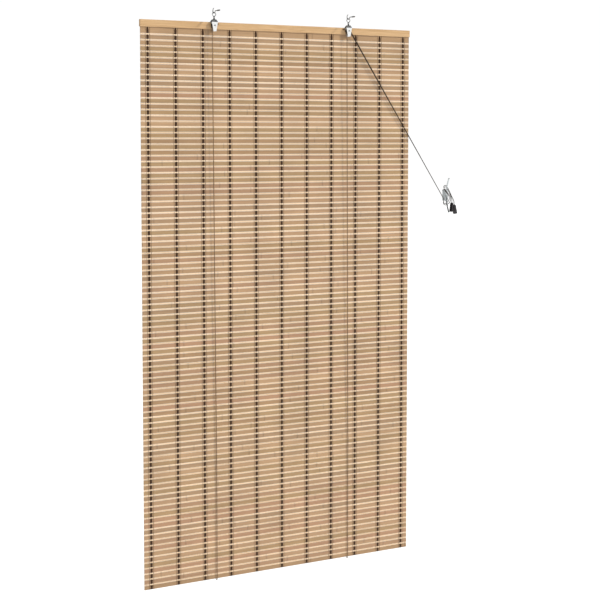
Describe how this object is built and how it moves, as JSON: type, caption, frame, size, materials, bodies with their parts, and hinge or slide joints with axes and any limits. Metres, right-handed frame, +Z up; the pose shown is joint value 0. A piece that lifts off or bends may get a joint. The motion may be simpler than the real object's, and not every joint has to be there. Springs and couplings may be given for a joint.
{
  "type": "bamboo roll up blind",
  "caption": "Flat woven bamboo curtain under a wooden head rail, hung from two hooks and rolled up from below by cords led over pulleys to a wall cleat.",
  "frame": {"origin": "midway between the seats of the two hooks, where the weight of the blind hangs", "axes": "+X to the right along the head rail, -Y towards the room, +Z up"},
  "size_m": [1.0848, 0.0635, 1.6429],
  "materials": {
    "rail_wood": "light sanded wood, thin clear lacquer",
    "bamboo_slat": "matt bamboo, carbonised to light brown",
    "bamboo_stick": "pale bamboo split, satin",
    "dark_thread": "dark brown twisted yarn",
    "side_thread": "thin brown sewing yarn",
    "plated_steel": "bright nickel-plated steel",
    "wheel_plastic": "black moulded plastic",
    "cord": "brown braided cord",
    "knob_plastic": "glossy black moulding",
    "cleat_metal": "cast grey metal, satin"
  },
  "bodies": {
    "blind": {"dark_threads": "dark_thread", "head_rail": "rail_wood", "left_axle_screw": "plated_steel", "left_back_cord": "cord", "left_cord_knob": "knob_plastic", "left_cord_loop": "cord", "left_cord_staple": "plated_steel", "left_end_knot": "cord", "left_lift_cord": "cord", "left_pull_cord": "cord", "left_pulley_strap": "plated_steel", "left_rail_knot": "cord", "rail_brads": "plated_steel", "right_axle_screw": "plated_steel", "right_back_cord": "cord", "right_cord_knob": "knob_plastic", "right_cord_loop": "cord", "right_cord_staple": "plated_steel", "right_end_knot": "cord", "right_lift_cord": "cord", "right_pull_cord": "cord", "right_pulley_strap": "plated_steel", "right_rail_knot": "cord", "side_threads": "side_thread", "thin_sticks": "bamboo_stick", "top_slat": "bamboo_slat", "wall_cleat": "cleat_metal", "wide_slats": "bamboo_slat"},
    "row_79": {"rolling_row_79": "bamboo_slat"},
    "row_80": {"rolling_row_80": "bamboo_slat"},
    "row_81": {"rolling_row_81": "bamboo_slat"},
    "row_82": {"rolling_row_82": "bamboo_slat"},
    "row_83": {"rolling_row_83": "bamboo_slat"},
    "row_84": {"rolling_row_84": "bamboo_slat"},
    "row_85": {"rolling_row_85": "bamboo_slat"},
    "row_86": {"rolling_row_86": "bamboo_slat"},
    "row_87": {"rolling_row_87": "bamboo_slat"},
    "row_88": {"rolling_row_88": "bamboo_slat"},
    "row_89": {"rolling_row_89": "bamboo_slat"},
    "row_90": {"rolling_row_90": "bamboo_slat"},
    "row_91": {"rolling_row_91": "bamboo_slat"},
    "row_92": {"rolling_row_92": "bamboo_slat"},
    "row_93": {"rolling_row_93": "bamboo_slat"},
    "row_94": {"rolling_row_94": "bamboo_slat"},
    "row_95": {"rolling_row_95": "bamboo_slat"},
    "row_96": {"rolling_row_96": "bamboo_slat"},
    "row_97": {"rolling_row_97": "bamboo_slat"},
    "row_98": {"rolling_row_98": "bamboo_slat"},
    "left_wheel": {"left_wheel": "wheel_plastic"},
    "right_front_wheel": {"right_front_wheel": "wheel_plastic"},
    "right_rear_wheel": {"right_rear_wheel": "wheel_plastic"},
    "left_hanger": {"left_eye": "plated_steel", "left_hook": "plated_steel"},
    "right_hanger": {"right_eye": "plated_steel", "right_hook": "plated_steel"}
  },
  "joints": [
    {"name": "row_79_fold", "type": "hinge", "parent": "blind", "child": "row_79", "pos_m": [0, 0.0082, -1.30617], "axis": [-1, 0, 0], "range_deg": [0, 29.46], "deforming": ["left_cord_loop", "right_cord_loop"]},
    {"name": "row_80_fold", "type": "hinge", "parent": "row_79", "child": "row_80", "pos_m": [0, 0.0082, -1.3221], "axis": [-1, 0, 0], "range_deg": [0, 30.32]},
    {"name": "row_81_fold", "type": "hinge", "parent": "row_80", "child": "row_81", "pos_m": [0, 0.0082, -1.33803], "axis": [-1, 0, 0], "range_deg": [0, 30.92]},
    {"name": "row_82_fold", "type": "hinge", "parent": "row_81", "child": "row_82", "pos_m": [0, 0.0082, -1.35396], "axis": [-1, 0, 0], "range_deg": [0, 31.55]},
    {"name": "row_83_fold", "type": "hinge", "parent": "row_82", "child": "row_83", "pos_m": [0, 0.0082, -1.36989], "axis": [-1, 0, 0], "range_deg": [0, 32.22]},
    {"name": "row_84_fold", "type": "hinge", "parent": "row_83", "child": "row_84", "pos_m": [0, 0.0082, -1.38582], "axis": [-1, 0, 0], "range_deg": [0, 32.94]},
    {"name": "row_85_fold", "type": "hinge", "parent": "row_84", "child": "row_85", "pos_m": [0, 0.0082, -1.40175], "axis": [-1, 0, 0], "range_deg": [0, 33.7]},
    {"name": "row_86_fold", "type": "hinge", "parent": "row_85", "child": "row_86", "pos_m": [0, 0.0082, -1.41768], "axis": [-1, 0, 0], "range_deg": [0, 34.53]},
    {"name": "row_87_fold", "type": "hinge", "parent": "row_86", "child": "row_87", "pos_m": [0, 0.0082, -1.43361], "axis": [-1, 0, 0], "range_deg": [0, 35.41]},
    {"name": "row_88_fold", "type": "hinge", "parent": "row_87", "child": "row_88", "pos_m": [0, 0.0082, -1.44954], "axis": [-1, 0, 0], "range_deg": [0, 36.38]},
    {"name": "row_89_fold", "type": "hinge", "parent": "row_88", "child": "row_89", "pos_m": [0, 0.0082, -1.46547], "axis": [-1, 0, 0], "range_deg": [0, 37.42]},
    {"name": "row_90_fold", "type": "hinge", "parent": "row_89", "child": "row_90", "pos_m": [0, 0.0082, -1.4814], "axis": [-1, 0, 0], "range_deg": [0, 38.56]},
    {"name": "row_91_fold", "type": "hinge", "parent": "row_90", "child": "row_91", "pos_m": [0, 0.0082, -1.49733], "axis": [-1, 0, 0], "range_deg": [0, 39.81]},
    {"name": "row_92_fold", "type": "hinge", "parent": "row_91", "child": "row_92", "pos_m": [0, 0.0082, -1.51326], "axis": [-1, 0, 0], "range_deg": [0, 41.2]},
    {"name": "row_93_fold", "type": "hinge", "parent": "row_92", "child": "row_93", "pos_m": [0, 0.0082, -1.52919], "axis": [-1, 0, 0], "range_deg": [0, 42.74]},
    {"name": "row_94_fold", "type": "hinge", "parent": "row_93", "child": "row_94", "pos_m": [0, 0.0082, -1.54512], "axis": [-1, 0, 0], "range_deg": [0, 44.47]},
    {"name": "row_95_fold", "type": "hinge", "parent": "row_94", "child": "row_95", "pos_m": [0, 0.0082, -1.56105], "axis": [-1, 0, 0], "range_deg": [0, 46.44]},
    {"name": "row_96_fold", "type": "hinge", "parent": "row_95", "child": "row_96", "pos_m": [0, 0.0082, -1.57698], "axis": [-1, 0, 0], "range_deg": [0, 48.69]},
    {"name": "row_97_fold", "type": "hinge", "parent": "row_96", "child": "row_97", "pos_m": [0, 0.0082, -1.59291], "axis": [-1, 0, 0], "range_deg": [0, 51.3]},
    {"name": "row_98_fold", "type": "hinge", "parent": "row_97", "child": "row_98", "pos_m": [0, 0.0082, -1.60884], "axis": [-1, 0, 0], "range_deg": [0, 54.4]},
    {"name": "left_wheel_spin", "type": "hinge", "parent": "blind", "child": "left_wheel", "pos_m": [-0.225, 0, -0.0368], "axis": [0, 1, 0], "continuous": true},
    {"name": "right_front_wheel_spin", "type": "hinge", "parent": "blind", "child": "right_front_wheel", "pos_m": [0.225, -0.0021, -0.0368], "axis": [0, 1, 0], "continuous": true},
    {"name": "right_rear_wheel_spin", "type": "hinge", "parent": "blind", "child": "right_rear_wheel", "pos_m": [0.225, 0.0021, -0.0368], "axis": [0, 1, 0], "continuous": true},
    {"name": "left_hook_swivel", "type": "hinge", "parent": "blind", "child": "left_hanger", "pos_m": [-0.225, 0, -0.0195], "axis": [0, 0, 1], "continuous": true},
    {"name": "right_hook_swivel", "type": "hinge", "parent": "blind", "child": "right_hanger", "pos_m": [0.225, 0, -0.0195], "axis": [0, 0, 1], "continuous": true}
  ],
  "couplings": [
    {"joint": "row_80_fold", "follows": "row_79_fold", "ratio": 1.019},
    {"joint": "row_81_fold", "follows": "row_79_fold", "ratio": 1.0392},
    {"joint": "row_82_fold", "follows": "row_79_fold", "ratio": 1.0606},
    {"joint": "row_83_fold", "follows": "row_79_fold", "ratio": 1.0834},
    {"joint": "row_84_fold", "follows": "row_79_fold", "ratio": 1.1077},
    {"joint": "row_85_fold", "follows": "row_79_fold", "ratio": 1.1337},
    {"joint": "row_86_fold", "follows": "row_79_fold", "ratio": 1.1617},
    {"joint": "row_87_fold", "follows": "row_79_fold", "ratio": 1.1918},
    {"joint": "row_88_fold", "follows": "row_79_fold", "ratio": 1.2244},
    {"joint": "row_89_fold", "follows": "row_79_fold", "ratio": 1.2599},
    {"joint": "row_90_fold", "follows": "row_79_fold", "ratio": 1.2986},
    {"joint": "row_91_fold", "follows": "row_79_fold", "ratio": 1.3412},
    {"joint": "row_92_fold", "follows": "row_79_fold", "ratio": 1.3882},
    {"joint": "row_93_fold", "follows": "row_79_fold", "ratio": 1.4405},
    {"joint": "row_94_fold", "follows": "row_79_fold", "ratio": 1.4993},
    {"joint": "row_95_fold", "follows": "row_79_fold", "ratio": 1.5659},
    {"joint": "row_96_fold", "follows": "row_79_fold", "ratio": 1.6423},
    {"joint": "row_97_fold", "follows": "row_79_fold", "ratio": 1.7312},
    {"joint": "row_98_fold", "follows": "row_79_fold", "ratio": 1.8363}
  ]
}
